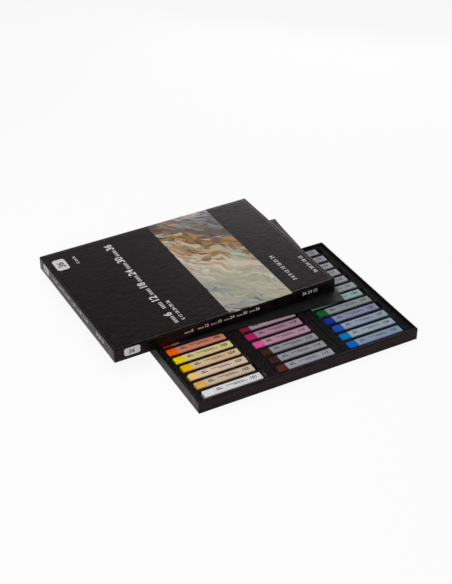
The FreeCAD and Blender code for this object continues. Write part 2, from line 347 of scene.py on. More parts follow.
def places_between(low, high, step, marks=()):
    """Sorted places from low to high, with the marks among them and no gap wider than the step."""
    fixed = sorted({round(v, 7) for v in (low, high, *marks)})
    found = [fixed[0]]
    for start, end in zip(fixed, fixed[1:]):
        count = max(1, math.ceil((end - start) / step - 0.001))
        found += [start + (end - start) * n / count for n in range(1, count + 1)]
    return found


# Pastels and their sleeves

STICK_SIDE_SHARES = (-0.62, -0.2, 0.2, 0.62)
STICK_CORNER = 0.7 * MM
SLEEVE_CORNER = 0.85 * MM
# The worn end in mm: how far along it, and how much slimmer there
STICK_END_SHAPE = ((0.0, 0.50), (0.08, 0.26), (0.25, 0.09), (0.5, 0.0))
# The rings on the end face, as shares of its half width
STICK_END_RINGS = (0.02, 0.35, 0.7)


def square_loop(half, radius, shares=STICK_SIDE_SHARES):
    """A square section with rounded corners, as points (y, z) round its centre."""
    points = []
    for corner in range(4):
        turn = Matrix.Rotation(math.radians(90 * corner), 2)
        flat = half - radius
        for share in shares:
            points.append(turn @ Vector((share * flat, -half)))
        for n in range(4):
            angle = math.radians(30 * n - 90)
            points.append(turn @ Vector((flat + radius * math.cos(angle), -flat + radius * math.sin(angle))))
    return points


def bitten(point, chips):
    """The point, pushed out of the chips: balls that were bitten out of the stick."""
    for centre, radius in chips:
        away = point - centre
        if away.length < radius:
            point = centre + away.normalized() * radius
    return point


def stick_mesh(name, low, high, chips):
    """A square stick with worn edges and ends, uneven faces and chipped corners."""
    length = high.x - low.x
    half = (high.y - low.y) / 2
    middle = (low + high) / 2
    ends = [(x * MM, shrink * MM) for x, shrink in STICK_END_SHAPE]
    stations = ends + [(x, 0.0) for x in places_between(1.0 * MM, 11.0 * MM, 0.6 * MM)]
    stations += [(x, 0.0) for x in places_between(14 * MM, length - 4 * MM, 4.5 * MM)]
    stations += [(x, 0.0) for x in places_between(length - 3 * MM, length - 1 * MM, 0.7 * MM)]
    stations += [(length - x, shrink) for x, shrink in reversed(ends)]
    end_loop = square_loop(half - ends[0][1], STICK_CORNER)
    loops = [[(0.0, *(p * share)) for p in end_loop] for share in STICK_END_RINGS]
    loops += [[(x, *p) for p in square_loop(half - shrink, STICK_CORNER)] for x, shrink in stations]
    loops += [[(length, *(p * share)) for p in end_loop] for share in reversed(STICK_END_RINGS)]
    points = []
    for loop in loops:
        for x, y, z in loop:
            point = Vector((low.x + x, middle.y + y, middle.z + z))
            point += noise.noise_vector(point / (4 * MM)) * 0.05 * MM
            point += noise.noise_vector(point / (1.1 * MM)) * 0.025 * MM
            points.append(bitten(point, chips))
    faces = bands(loops)
    count = len(loops[0])
    faces.append(tuple(reversed(range(count))))
    faces.append(tuple(range(len(points) - count, len(points))))
    return mesh_from(name, points, faces)


def small_chips(low, high, draw):
    """A few crumbled spots along the edges of both ends."""
    chips = []
    for end in (low.x, high.x):
        for _ in range(draw.randint(2, 4)):
            radius = draw.uniform(0.4, 0.9) * MM
            centre = Vector((end, draw.choice((low.y, high.y)), draw.uniform(low.z, high.z)))
            if draw.random() < 0.5:
                centre = Vector((end, draw.uniform(low.y, high.y), draw.choice((low.z, high.z))))
            outward = centre - (low + high) / 2
            outward.x = 0
            chips.append((centre + outward.normalized() * radius * 0.55, radius))
    return chips


def sleeve_mesh(name, low, high, draw):
    """A paper tube with rounded corners, soft waves and an overlapped seam down its back."""
    half = (high.y - low.y) / 2 - 0.06 * MM
    middle = (low + high) / 2
    seam_shares = (-0.7, -0.3, 0.3, 0.36, 0.7)
    seam_step = 0.05 * MM
    phase = draw.uniform(0, 100)
    cut_tilt = draw.uniform(-0.02, 0.02)
    outside = []
    for x in places_between(low.x, high.x, 2.6 * MM):
        wave = 1 + 0.004 * noise.noise(Vector((x / (9 * MM), phase, 0)))
        lean = cut_tilt * (1 - (x - low.x) / (high.x - low.x))
        loop = []
        for y, z in square_loop(half * wave, SLEEVE_CORNER, seam_shares):
            if y > half * 0.98 and z > half * 0.33:
                y += seam_step
            loop.append((x + lean * z, y, z))
        outside.append(loop)
    inside = [[(x, y * (1 - SLEEVE_PAPER / half), z * (1 - SLEEVE_PAPER / half)) for x, y, z in loop]
              for loop in reversed(outside)]
    loops = outside + inside
    points = [(x, middle.y + y, middle.z + z) for loop in loops for x, y, z in loop]
    return mesh_from(name, points, bands(loops, closed=True))


# Print: plain numbers and plain rules

def flat_shape(points, thickness):
    """A closed thin solid over a flat outline, its underside at height 0."""
    count = len(points)
    solid = [(x, y, 0.0) for x, y in points] + [(x, y, thickness) for x, y in points]
    sides = [(n, (n + 1) % count, (n + 1) % count + count, n + count) for n in range(count)]
    return solid, [tuple(reversed(range(count))), tuple(range(count, 2 * count)), *sides]


def bar(left, low, width, height, thickness):
    return flat_shape([(left, low), (left + width, low), (left + width, low + height), (left, low + height)],
                      thickness)


def rounded_label(left, low, width, height, radius, thickness):
    outline = []
    corners = ((left + width - radius, low + height - radius), (left + radius, low + height - radius),
               (left + radius, low + radius), (left + width - radius, low + radius))
    for corner, (x, y) in enumerate(corners):
        for n in range(7):
            angle = math.radians(90 * corner + 15 * n)
            outline.append((x + radius * math.cos(angle), y + radius * math.sin(angle)))
    return flat_shape(outline, thickness)


def number_shape(text, size, left, low, thickness, slant=0.15, weight=0.02):
    """A plain number as a thin solid, in Blender's own typeface."""
    curve = bpy.data.curves.new("number", "FONT")
    curve.body = text
    curve.size = size
    curve.shear = slant
    curve.offset = size * weight
    curve.extrude = thickness / 2
    curve.resolution_u = 4
    writer = bpy.data.objects.new("number", curve)
    mesh = bpy.data.meshes.new_from_object(writer)
    points = [(v.co.x + left, v.co.y + low, v.co.z + thickness / 2) for v in mesh.vertices]
    faces = [tuple(p.vertices) for p in mesh.polygons]
    bpy.data.objects.remove(writer)
    bpy.data.curves.remove(curve)
    bpy.data.meshes.remove(mesh)
    return points, faces


def print_mesh(name, shapes, matrix):
    """All shapes as one mesh, taken from the plane of the print to its place on the object."""
    points = []
    faces = []
    for shape_points, shape_faces in shapes:
        first = len(points)
        points += [matrix @ Vector(p) for p in shape_points]
        faces += [tuple(first + n for n in face) for face in shape_faces]
    return mesh_from(name, points, faces)


# What is printed on a sleeve, in mm from its front left corner: (left, low, width) and (low, start, end)
SHORT_RULES = ((4.6, 6.1, 4.4), (3.8, 4.1, 7.2))
BROKEN_RULES = ((5.9, 15.5, 35.5), (4.1, 23.0, 38.5))
FIRST_NUMBER = 100
SLEEVE_PRINT_DEPTH = 0.085 * MM


def sleeve_print(name, low, high, number):
    """What a sleeve says: two short rules, two long broken rules and the pastel's own number."""
    draw = random.Random(number * 7 + 3)
    thickness = 0.05 * MM
    shapes = [bar(left * MM, low_y * MM, width * MM, 1.1 * MM, thickness)
              for left, low_y, width in SHORT_RULES]
    for low_y, start, end in BROKEN_RULES:
        x = start
        while x < end:
            width = min(draw.uniform(0.8, 2.6), end - x)
            shapes.append(bar(x * MM, low_y * MM, width * MM, 0.95 * MM, thickness))
            x += width + 0.4
    text = f"{FIRST_NUMBER + number}"
    shapes.append(number_shape(text, 5.6 * MM, 41.4 * MM, 3.7 * MM, thickness, weight=0.03))
    return print_mesh(name, shapes, Matrix.Translation((low.x, low.y, high.z - SLEEVE_PRINT_DEPTH)))


# Wrapped board boxes: tray and lid

def side_shares(length, cell):
    """Places along a wrapped side, as shares of it, with a close pair where the flap under the paper ends."""
    marks = (FLAP_WIDTH, FLAP_WIDTH + FLAP_STEP, length - FLAP_WIDTH - FLAP_STEP, length - FLAP_WIDTH)
    return [place / length for place in places_between(0, length, cell, marks)]


def wrap_loop(width, depth, inset, shares, sunk):
    """A rounded rectangle that lies one inset inside the outline, as points (x, y).

    Between the flaps the paper lies a little deeper on the short sides, by the sunk distance."""
    radius = max(EDGE_RADIUS - inset, 0.0)
    points = []
    corners = [(inset, inset), (width - inset, inset), (width - inset, depth - inset), (inset, depth - inset)]
    for side in range(4):
        along = Vector(((1, 0), (0, 1), (-1, 0), (0, -1))[side])
        inward = Vector((-along.y, along.x))
        start = Vector(corners[side]) + along * radius
        end = Vector(corners[(side + 1) % 4]) - along * radius
        length = (width, depth)[side % 2]
        for share in shares[side % 2]:
            point = start.lerp(end, share)
            from_corner = min(share, 1 - share) * length
            if side % 2 and from_corner > FLAP_WIDTH + FLAP_STEP / 2:
                point += inward * sunk
            points.append(point)
        centre = end + inward * radius
        for n in (1, 2, 3):
            angle = math.radians(90 * side - 90 + 22.5 * n)
            points.append(centre + Vector((math.cos(angle), math.sin(angle))) * radius)
    return points


def wrap_profile(height, turn_in, rim):
    """The paper's path from the panel over the edge, along the wall, round the rim and back inside.

    Points are (inset, height from the panel)."""
    path = [(PANEL_INSET, 0.0)] + [(inset * MM, level * MM) for inset, level in PANEL_RIDGE]
    for n in range(7):
        angle = math.radians(15 * n)
        path.append((SHOULDER[0] * (1 - math.sin(angle)), SHOULDER[1] * (1 - math.cos(angle))))
    path += [(0.0, z) for z in places_between(EDGE_RADIUS, height - rim, 2.6 * MM)[1:]]
    for n in (1, 2, 3):
        angle = math.radians(30 * n)
        path.append((rim * (1 - math.cos(angle)), height - rim + rim * math.sin(angle)))
    for n in (0, 1, 2, 3):
        angle = math.radians(30 * n)
        path.append((BOARD_WALL - rim * (1 - math.sin(angle)), height - rim + rim * math.cos(angle)))
    inside = places_between(height - turn_in, height - rim, 2.6 * MM)[:-1]
    return path + [(BOARD_WALL, z) for z in reversed(inside)]


def wrapped_box(name, width, depth, height, turn_in, cell, matrix):
    """The wrapping paper of a board box: a panel with four walls, turned in round the rim."""
    shares = (side_shares(width, cell), side_shares(depth, cell))
    loops = []
    for inset, level in wrap_profile(height, turn_in, RIM_RADIUS):
        sunk = FLAP_DEPTH if level > EDGE_RADIUS and inset < BOARD_WALL / 2 else 0.0
        loops.append([(p.x, p.y, level) for p in wrap_loop(width, depth, inset, shares, sunk)])
    points = [p for loop in loops for p in loop]
    faces = bands(loops)
    first = len(points)
    columns = [PANEL_INSET + share * (width - 2 * PANEL_INSET) for share in shares[0]]
    rows = [PANEL_INSET + share * (depth - 2 * PANEL_INSET) for share in shares[1]]
    points += [(x, y, 0.0) for y in rows for x in columns]
    for j in range(len(rows) - 1):
        for i in range(len(columns) - 1):
            corner = first + j * len(columns) + i
            faces.append((corner, corner + 1, corner + len(columns) + 1, corner + len(columns)))
    placed = []
    for point in points:
        place = matrix @ Vector(point)
        placed.append(place + Vector((0, 0, WAVE)) * noise.noise(place / (35 * MM)))
    mesh = mesh_from(name, placed, faces)
    return thickened(mesh, WRAP_PAPER)


def thickened(mesh, thickness):
    """The mesh as a closed sheet of that thickness, grown inwards."""
    holder = bpy.data.objects.new("holder", mesh)
    SCENE.collection.objects.link(holder)
    solidify = holder.modifiers.new("solidify", "SOLIDIFY")
    solidify.thickness = thickness
    solidify.offset = -1
    depsgraph = bpy.context.evaluated_depsgraph_get()
    made = bpy.data.meshes.new_from_object(holder.evaluated_get(depsgraph))
    made.name = mesh.name
    bpy.data.objects.remove(holder)
    return made


def turned_rectangle(low, high, turn):
    """The size of a turned rectangle with rounded corners, and its front left corner, from its box."""
    cosine = math.cos(turn)
    sine = math.sin(turn)
    across = high.x - low.x - 2 * EDGE_RADIUS
    along = high.y - low.y - 2 * EDGE_RADIUS
    scale = cosine ** 2 - sine ** 2
    width = (across * cosine - along * sine) / scale
    depth = (along * cosine - across * sine) / scale
    centre = Vector((low.x + EDGE_RADIUS + depth * sine, low.y + EDGE_RADIUS))
    corner = centre - Vector((EDGE_RADIUS * (cosine - sine), EDGE_RADIUS * (cosine + sine)))
    return width + 2 * EDGE_RADIUS, depth + 2 * EDGE_RADIUS, corner


# The foam

def slot_round(block, stick_low, stick_high):
    """The slot round a pastel, read from the foam block's own corners: (left, right, front, back)."""
    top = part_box(block)[1].z
    corners = [v.co for v in frame["nodes"][block].data.vertices if abs(v.co.z - top) < 0.01 * MM]
    front = max(v.y for v in corners if v.y < stick_low.y)
    back = min(v.y for v in corners if v.y > stick_high.y)
    beside = [v.x for v in corners if front - 0.01 * MM < v.y < back + 0.01 * MM]
    left = max(x for x in beside if x < stick_low.x)
    right = min(x for x in beside if x > stick_high.x)
    return left, right, front, back


def foam_mesh(name, low, high, slots, cell):
    """A foam block with slots right through it, its cut edges softened and its ribs slightly uneven."""
    columns = places_between(low.x, high.x, cell, [x for slot in slots for x in slot[:2]])
    rows = places_between(low.y, high.y, cell, [y for slot in slots for y in slot[2:]])
    shape = bmesh.new()
    corner_at = {}

    def corner(i, j):
        if (i, j) not in corner_at:
            corner_at[i, j] = shape.verts.new((columns[i], rows[j], low.z))
        return corner_at[i, j]

    for j in range(len(rows) - 1):
        for i in range(len(columns) - 1):
            x = (columns[i] + columns[i + 1]) / 2
            y = (rows[j] + rows[j + 1]) / 2
            if not any(left < x < right and front < y < back for left, right, front, back in slots):
                shape.faces.new((corner(i, j), corner(i + 1, j), corner(i + 1, j + 1), corner(i, j + 1)))
    thickness = high.z - low.z
    foot = list(shape.faces)
    current = foot
    for share in (0.3, 0.3, 0.25, 0.15):
        made = bmesh.ops.extrude_face_region(shape, geom=current)["geom"]
        bmesh.ops.translate(shape, verts=[v for v in made if isinstance(v, bmesh.types.BMVert)],
                            vec=(0, 0, thickness * share))
        if current is not foot:
            bmesh.ops.delete(shape, geom=current, context="FACES_KEEP_BOUNDARY")
        current = [f for f in made if isinstance(f, bmesh.types.BMFace)]
    bmesh.ops.recalc_face_normals(shape, faces=shape.faces)
    rim = [e for e in shape.edges if len(e.link_faces) == 2 and e.verts[0].co.z > high.z - 0.01 * MM
           and e.verts[1].co.z > high.z - 0.01 * MM and abs(e.calc_face_angle(0)) > 1]
    bmesh.ops.bevel(shape, geom=rim, offset=0.4 * MM, segments=2, profile=0.5, affect="EDGES")
    for vertex in shape.verts:
        place = vertex.co.copy()
        wander = noise.noise_vector(place / (7 * MM)) * 0.1 * MM
        grit = noise.noise_vector(place / (1.6 * MM)) * 0.05 * MM
        share = (place.z - low.z) / thickness
        vertex.co += Vector((wander.x + grit.x, wander.y + grit.y, (wander.z - 0.1 * MM) * share))
    mesh = bpy.data.meshes.new(name)
    shape.to_mesh(mesh)
    shape.free()
    return mesh


def dust_foam(mesh, slots, colours):
    """Pigment that rubbed off at the ends of the slots, most at the right ends."""
    points = np.array([v.co for v in mesh.vertices])
    tint = np.zeros((len(points), 3))
    weight = np.full(len(points), 1e-9)
    for number, ((left, right, front, back), colour) in enumerate(zip(slots, colours)):
        draw = random.Random(number)
        ends = ((right, 1.4 * MM, draw.uniform(0.0, 0.12)), (left, 1.2 * MM, draw.uniform(0.0, 0.02)))
        for x, reach, strength in ends:
            away = np.hypot((points[:, 0] - x) / reach, (points[:, 1] - (front + back) / 2) / (5 * MM))
            amount = strength * np.exp(-away ** 2)
            tint += amount[:, None] * np.array(colour[:3])
            weight += amount
    tint /= weight[:, None]
    values = np.concatenate([tint, np.minimum(weight, 0.6)[:, None]], axis=1)
    layer = mesh.color_attributes.new("dust", "FLOAT_COLOR", "POINT")
    layer.data.foreach_set("color", values.astype(np.float32).ravel())


def sheet_corners(node_name):
    """The cover sheet's corners, read from its own node: front right, back right, back left, front left."""
    points = [v.co.copy() for v in frame["nodes"][node_name].data.vertices]
    return (min(points, key=lambda p: p.y), max(points, key=lambda p: p.x),
            max(points, key=lambda p: p.y), min(points, key=lambda p: p.x))


def smooth(value):
    value = min(max(value, 0.0), 1.0)
    return value * value * (3 - 2 * value)


def cover_sheet_mesh(name):
    """Thin foam that lies flat under the lid, and drops a little where it comes out from under it."""
    front_right, back_right, back_left, front_left = sheet_corners("cover_sheet")
    low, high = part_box("cover_sheet")
    tray_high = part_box("tray_wrap")[1]
    pastel_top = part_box("covered_sleeves")[1].z
    across, along = 84, 80
    points = []
    for side in (0, 1):
        for j in range(along + 1):
            for i in range(across + 1):
                front = front_left.lerp(front_right, i / across)
                place = front.lerp(back_left.lerp(back_right, i / across), j / along)
                x, y = lid_local(place.x, place.y)
                outside = max(-y, x - lid_width, 0.0)
                over_tray = smooth((tray_high.y - 6 * MM - place.y) / (8 * MM))
                past_tray = smooth((place.y - tray_high.y) / (60 * MM))
                drop = smooth(outside / (17 * MM)) * (over_tray * (low.z - pastel_top - 0.15 * MM)
                                                     + past_tray * 2.0 * MM)
                ripple = noise.noise(Vector((place.x / (22 * MM), place.y / (22 * MM), 3.1))) * 0.16 * MM
                ripple *= smooth(outside / (6 * MM))
                z = (low.z if side == 0 else high.z) - drop + ripple * over_tray
                points.append((place.x, place.y, z))
    row = across + 1
    layer = row * (along + 1)
    faces = []
    for j in range(along):
        for i in range(across):
            corner = j * row + i
            faces.append((corner, corner + row, corner + row + 1, corner + 1))
            faces.append((layer + corner, layer + corner + 1, layer + corner + row + 1, layer + corner + row))
    border = list(range(row))
    border += [across + j * row for j in range(1, along + 1)]
    border += [along * row + i for i in range(across - 1, -1, -1)]
    border += [j * row for j in range(along - 1, 0, -1)]
    for first, second in zip(border, border[1:] + border[:1]):
        faces.append((first, second, layer + second, layer + first))
    return mesh_from(name, points, faces)


# The pieces

def record_colours():
    """The colour of each material slot in the record."""
    return {material["slot"]: tuple(material["base_color"][:3]) + (1.0,)
            for material in frame["record"]["materials"]}


COLOURS = record_colours()
BODY_OF = {name: body for body, names in frame["record"]["behaviour"]["bodies"].items() for name in names}


def column_and_row(name):
    """A pastel's place in the order: by column from the left, each column from the front."""
    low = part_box(f"pastel_{name}")[0]
    return round(low.x / (60 * MM)), low.y


PASTELS = sorted((name[len("pastel_"):] for name in frame["nodes"] if name.startswith("pastel_")),
                 key=column_and_row)
bare_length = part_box("sleeve_white")[0].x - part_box("pastel_white")[0].x
ink = ink_material("sleeve_ink", linear("332E2C"), 0.6)

# The papers that show beside the cover sheet and the lid
COVERED_PAPERS = {
    "orange": "CC8068", "crimson": "AC9AA8", "mint": "9CB4B9", "sage": "9CA4A6", "grey_green": "A2A5AA",
    "light_grey": "A6A9B2", "middle_grey": "A6AAB4", "dark_grey": "9DA0AB", "black": "999DA8",
}
# Sticks and papers right of this line are made a little darker than these lamps alone make them: painted
# shade, for light that falls off towards the right
DIM_FROM = -50 * MM
DIM_TONE = 0.9
# The crimson stick is darkened: painted shade from the cover sheet's edge above it
CRIMSON_TONE = 0.8
# The foams look lighter than their colour through their speckle and gloss
FOAM_TONE = 0.4
SHEET_TONE = 0.35
FOAM_CELL = 1.7 * MM
PAD_CELL = 5 * MM


def stick_colour(name):
    colour = COLOURS[f"pastel_{name}"]
    # Painted shade from the cover sheet on the crimson stick
    if name == "crimson":
        return brighter(colour, CRIMSON_TONE)
    # Right of DIM_FROM the colour is darkened: painted shade
    return brighter(colour, DIM_TONE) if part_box(f"pastel_{name}")[0].x > DIM_FROM else colour


def paper_colour(name):
    """The tint of a paper. Where the record has none, it is the pastel's colour let down with grey."""
    if name in COVERED_PAPERS:
        colour = linear(COVERED_PAPERS[name])
    else:
        hidden = mixed(COLOURS[f"pastel_{name}"], COLOURS["covered_sleeve_paper"], 0.72)
        colour = COLOURS.get(f"sleeve_{name}") or hidden
    # Right of DIM_FROM the paper is darkened: painted shade
    return brighter(colour, DIM_TONE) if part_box(f"pastel_{name}")[0].x > DIM_FROM else colour


def make_pastels():
    """Each pastel as three pieces: the stick, its paper sleeve and the sleeve's print."""
    wide = Vector((0, SLEEVE_PAPER, SLEEVE_PAPER))
    for number, name in enumerate(PASTELS, start=1):
        draw = random.Random(number)
        low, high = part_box(f"pastel_{name}")
        body = BODY_OF[f"pastel_{name}"]
        chips = small_chips(low, high, draw)
        if name == "peach":
            # The photograph shows a large corner broken off this one
            chips.append((Vector((low.x - 0.4 * MM, high.y + 0.6 * MM, high.z + 0.4 * MM)), 2.7 * MM))
        mesh = stick_mesh(f"stick_{name}", low, high, chips)
        chalk = chalk_material(f"chalk_{name}", stick_colour(name))
        stick = add_piece(f"stick_{name}", mesh, body, [chalk])
        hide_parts(f"pastel_{name}")
        sleeve_low = low - wide + Vector((bare_length, 0, 0))
        sleeve_high = high + wide
        free = f"sleeve_{name}" in frame["nodes"]
        paper = sleeve_material(f"paper_{name}", paper_colour(name), COLOURS[f"pastel_{name}"])
        mesh = sleeve_mesh(f"paper_sleeve_{name}", sleeve_low, sleeve_high, draw)
        sleeve = add_piece(f"paper_sleeve_{name}", mesh, body, [paper])
        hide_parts(f"sleeve_{name}" if free else "covered_sleeves")
        mesh = sleeve_print(f"sleeve_print_{name}", sleeve_low, sleeve_high, number)
        add_piece(f"sleeve_print_{name}", mesh, body, [ink])


def make_foam():
    """The two slotted blocks, with pigment dust in their slots, and the pad under them."""
    colour = brighter(COLOURS["black_foam"], FOAM_TONE)
    foam = foam_material("foam", colour, 1.1 * MM, gloss=0.1, dusted=True)
    for block in ("foam_block_left", "foam_block_right"):
        low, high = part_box(block)
        inside = [name for name in PASTELS if low.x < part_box(f"pastel_{name}")[0].x < high.x]
        slots = [slot_round(block, *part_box(f"pastel_{name}")) for name in inside]
        mesh = foam_mesh(f"{block}_cut", low, high, slots, FOAM_CELL)
        dust_foam(mesh, slots, [COLOURS[f"pastel_{name}"] for name in inside])
        piece = add_piece(f"{block}_cut", mesh, "tray", [foam])
        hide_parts(block)
    low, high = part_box("foam_base_pad")
    mesh = foam_mesh("foam_base_pad_soft", low, high, [], PAD_CELL)
    dust_foam(mesh, [], [])
    piece = add_piece("foam_base_pad_soft", mesh, "tray", [foam])
    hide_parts("foam_base_pad")


tray_low, tray_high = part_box("tray_wrap")
lid_low, lid_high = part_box("lid_wrap")
lid_width, lid_depth, lid_corner = turned_rectangle(lid_low, lid_high, LID_TURN)
lid_place = Matrix.Translation((lid_corner.x, lid_corner.y, 0)) @ Matrix.Rotation(LID_TURN, 4, "Z")
to_lid = lid_place.inverted()


def lid_local(x, y):
    """A point's place on the lid: how far from its left side, and from its front."""
    place = to_lid @ Vector((x, y, 0))
    return place.x, place.y


# Where the printed band lies on the lid's top, in the lid's own metres
BAND_LEFT = 133 * MM
BAND_RIGHT = 210.4 * MM
BAND_COLOURS = ("C2BBA4", "9C9A86", "CFCABA", "B4884A", "6A4E36", "3A3832", "78828F", "ADA894")
BAND_CHALK = "CFCBBE"
# The layers of strokes: angle in degrees, length and width in mm, shift, and how much their colours differ
BAND_LAYERS = ((38, 34, 9, 0.31, 0.3), (24, 24, 5, 1.7, 0.4), (52, 14, 3, 2.9, 0.5))
# How wide the bends of the strokes are, and how far they reach
BEND_SIZE = 42 * MM
BEND_REACH = 40 * MM


def stroke_layer(tree, point, angle, length, width, seed):
    """Long narrow cells, like strokes laid side by side: a random number for each, and its edges."""
    turned = node(tree, "ShaderNodeMapping",
                  {0: point, 1: (seed, seed, 0), 2: (0, 0, math.radians(angle))}).outputs[0]
    stretched = node(tree, "ShaderNodeMapping",
                     {0: turned, 3: (1 / length, 1 / width, 1 / length)}).outputs[0]
    cells = node(tree, "ShaderNodeTexVoronoi", {"Vector": stretched, "Scale": 1.0, "Randomness": 0.9})
    tone = node(tree, "ShaderNodeSeparateColor", {0: cells.outputs["Color"]}).outputs[0]
    return tone, cells.outputs["Distance"]


def band_art(tree, paper):
    """A generic band of broad pastel strokes in earth colours, laid in slanting sweeps."""
    point = places(tree, shift=(-lid_corner.x, -lid_corner.y, 0))
    point = node(tree, "ShaderNodeMapping", {0: point, 2: (0, 0, -LID_TURN)}).outputs[0]
    bend = node(tree, "ShaderNodeTexNoise",
                {"Vector": point, "Scale": 1 / BEND_SIZE, "Detail": 2.5}).outputs["Color"]
    shaken = node(tree, "ShaderNodeVectorMath", {0: bend, 1: (0.5, 0.5, 0.5)},
                  operation="SUBTRACT").outputs[0]
    shaken = node(tree, "ShaderNodeVectorMath", {0: shaken, "Scale": BEND_REACH},
                  operation="SCALE").outputs[0]
    bent = node(tree, "ShaderNodeVectorMath", {0: point, 1: shaken}, operation="ADD").outputs[0]
    axes = node(tree, "ShaderNodeSeparateXYZ", {0: bent})
    sweep = maths(tree, "ADD", maths(tree, "MULTIPLY", axes.outputs[0], 3.2),
                  maths(tree, "MULTIPLY", axes.outputs[1], 4.6))
    stops = [(n / len(BAND_COLOURS), linear(code)) for n, code in enumerate(BAND_COLOURS)]
    colour = None
    for angle, length, width, seed, spread in BAND_LAYERS:
        tone, distance = stroke_layer(tree, bent, angle, length * MM, width * MM, seed)
        place = maths(tree, "FRACT", maths(tree, "ADD", sweep, maths(tree, "MULTIPLY", tone, spread)))
        layer = ramp(tree, place, stops)
        if colour is None:
            colour = layer
        else:
            chalk = speckle(tree, point, 0.7 * MM, detail=4.0, roughness=0.75)
            broken = maths(tree, "SUBTRACT", chalk, maths(tree, "MULTIPLY", distance, 0.35))
            cover = maths(tree, "MULTIPLY", fade(tree, broken, 0.2, 0.34), fade(tree, tone, 0.35, 0.55))
            colour = mix_colours(tree, cover, colour, layer)
    tooth = speckle(tree, point, 0.5 * MM, detail=4.0, roughness=0.7)
    grains = maths(tree, "MULTIPLY", fade(tree, tooth, 0.55, 0.75), 0.3)
    colour = mix_colours(tree, grains, colour, linear(BAND_CHALK))
    edges = node(tree, "ShaderNodeSeparateXYZ", {0: point})
    inside = maths(tree, "MULTIPLY", maths(tree, "GREATER_THAN", edges.outputs[0], BAND_LEFT),
                   maths(tree, "LESS_THAN", edges.outputs[0], BAND_RIGHT))
    on_top = maths(tree, "GREATER_THAN", edges.outputs[2], lid_high.z - 0.6 * MM)
    return mix_colours(tree, maths(tree, "MULTIPLY", inside, on_top), paper, colour)


def make_boxes():
    """The tray's and the lid's wrapping paper, and the bare board that shows inside the lid."""
    black = COLOURS["black_wrap"]
    width = tray_high.x - tray_low.x
    depth = tray_high.y - tray_low.y
    board_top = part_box("foam_base_pad")[0].z
    mesh = wrapped_box("tray_paper", width, depth, tray_high.z - WAVE, tray_high.z - board_top, PAPER_CELL,
                       Matrix.Translation((tray_low.x, tray_low.y, WAVE)))
    tray = add_piece("tray_paper", mesh, "tray", [wrap_material("tray_wrap_paper", black)])
    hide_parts("tray_wrap")
    height = lid_high.z - lid_low.z - 2 * PRINT
    flip = Matrix.Translation((0, 0, lid_high.z - 2 * PRINT)) @ Matrix.Diagonal((1, 1, -1, 1))
    mesh = wrapped_box("lid_paper", lid_width, lid_depth, height, LID_TURN_IN, PAPER_CELL, lid_place @ flip)
    paper = wrap_material("lid_wrap_paper", black, -LID_TURN, band_art)
    lid = add_piece("lid_paper", mesh, "lid", [paper])
    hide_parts("lid_wrap")
    board = board_material("grey_board_fibre", COLOURS["grey_board"])
    for name in ("tray_board", "lid_board"):
        frame["nodes"][name].data.materials.clear()
        frame["nodes"][name].data.materials.append(board)


def make_cover_sheet():
    """The foam sheet, with its flat size read from its node's corners."""
    colour = brighter(COLOURS["sheet_foam"], SHEET_TONE)
    soft = foam_material("sheet_foam_skin", colour, 0.8 * MM, gloss=0.7, dusted=False)
    mesh = cover_sheet_mesh("cover_sheet_foam")
    piece = add_piece("cover_sheet_foam", mesh, "cover_sheet", [soft])
    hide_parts("cover_sheet")


# How thick the lid's print is, and where its side prints start from the walls
LID_INK = 0.08 * MM
FRONT_PRINT_INSET = 0.04 * MM
LEFT_PRINT_INSET = 0.13 * MM
# How heavy its upright figures are
LIGHT = 0.02
HEAVY = 0.025
# The rows of numbers on the lid's top: text, size, left and low in mm
TOP_ROWS = (("6 12 18 24 30 36", 5.6, 14.0, -88.0), ("3 6 9 12 15 18 21 24", 6.4, 19.5, -228.8),
            ("36 30 24 18 12", 6.0, 21.0, -256.6), ("12 24 36", 4.6, 163.5, -34.8))


def plain_number(text, size, left, low, weight=LIGHT):
    """Upright figures for the lid, with their size and place in mm."""
    return number_shape(text, size * MM, left * MM, low * MM, LID_INK, slant=0.0, weight=weight)


def lid_label(left, low, width, height, radius):
    """A rounded label for the lid, with its size and place in mm."""
    return rounded_label(left * MM, low * MM, width * MM, height * MM, radius * MM, LID_INK)


def number_scale(left, low, group, size):
    """The numbers 6, 12 and so on up to 36 in a row, in plain figures, with five short ticks before each."""
    shapes = []
    for n in range(6):
        start = left + n * group
        for tick in range(5):
            tick_left = start + tick * 0.094 * group
            shapes.append(bar(tick_left * MM, low * MM, 0.045 * group * MM, size * 0.34 * MM, LID_INK))
        shapes.append(plain_number(str(6 * n + 6), size, start + 0.49 * group, low, HEAVY))
    return shapes


def add_lid_print(name, shapes, number_name, number, plane, white, dark):
    """The print of one face of the lid, and the number on its label."""
    add_piece(name, print_mesh(name, shapes, plane), "lid", [white])
    raised = plane @ Matrix.Translation((0, 0, PRINT))
    size, left, low = number
    slanted = number_shape("36", size * MM, left * MM, low * MM, LID_INK)
    add_piece(number_name, print_mesh(number_name, [slanted], raised), "lid", [dark])


